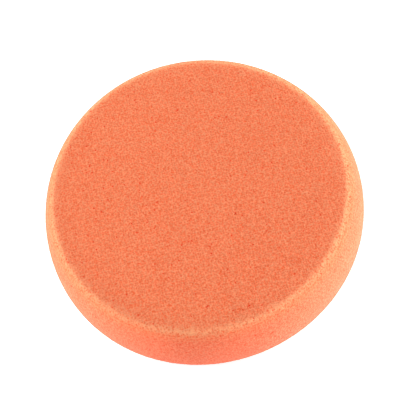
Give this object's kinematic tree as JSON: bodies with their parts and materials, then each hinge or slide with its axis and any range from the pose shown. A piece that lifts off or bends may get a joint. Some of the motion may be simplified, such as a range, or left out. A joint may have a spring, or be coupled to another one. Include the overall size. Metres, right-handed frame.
{
  "type": "polishing pad",
  "caption": "Round open-cell foam polishing pad with a flat working face, a side that leans in towards it, and a hook-and-loop back for a polishing machine's backing plate.",
  "frame": {"origin": "centre of the loop back's outer plane, on the pad's axis", "axes": "+Z along the pad's axis, out of the working face; the pad is round, so X and Y are any two directions across it"},
  "size_m": [0.15, 0.15, 0.03],
  "materials": {
    "foam": "matte open-cell polyurethane foam",
    "adhesive": "cured adhesive film",
    "loop_ground": "warp-knitted polyamide",
    "loop_pile": "brushed polyamide loops"
  },
  "bodies": {
    "root": {"foam_body": "foam", "bond_film": "adhesive", "loop_ground": "loop_ground", "loop_pile": "loop_pile"}
  },
  "joints": []
}
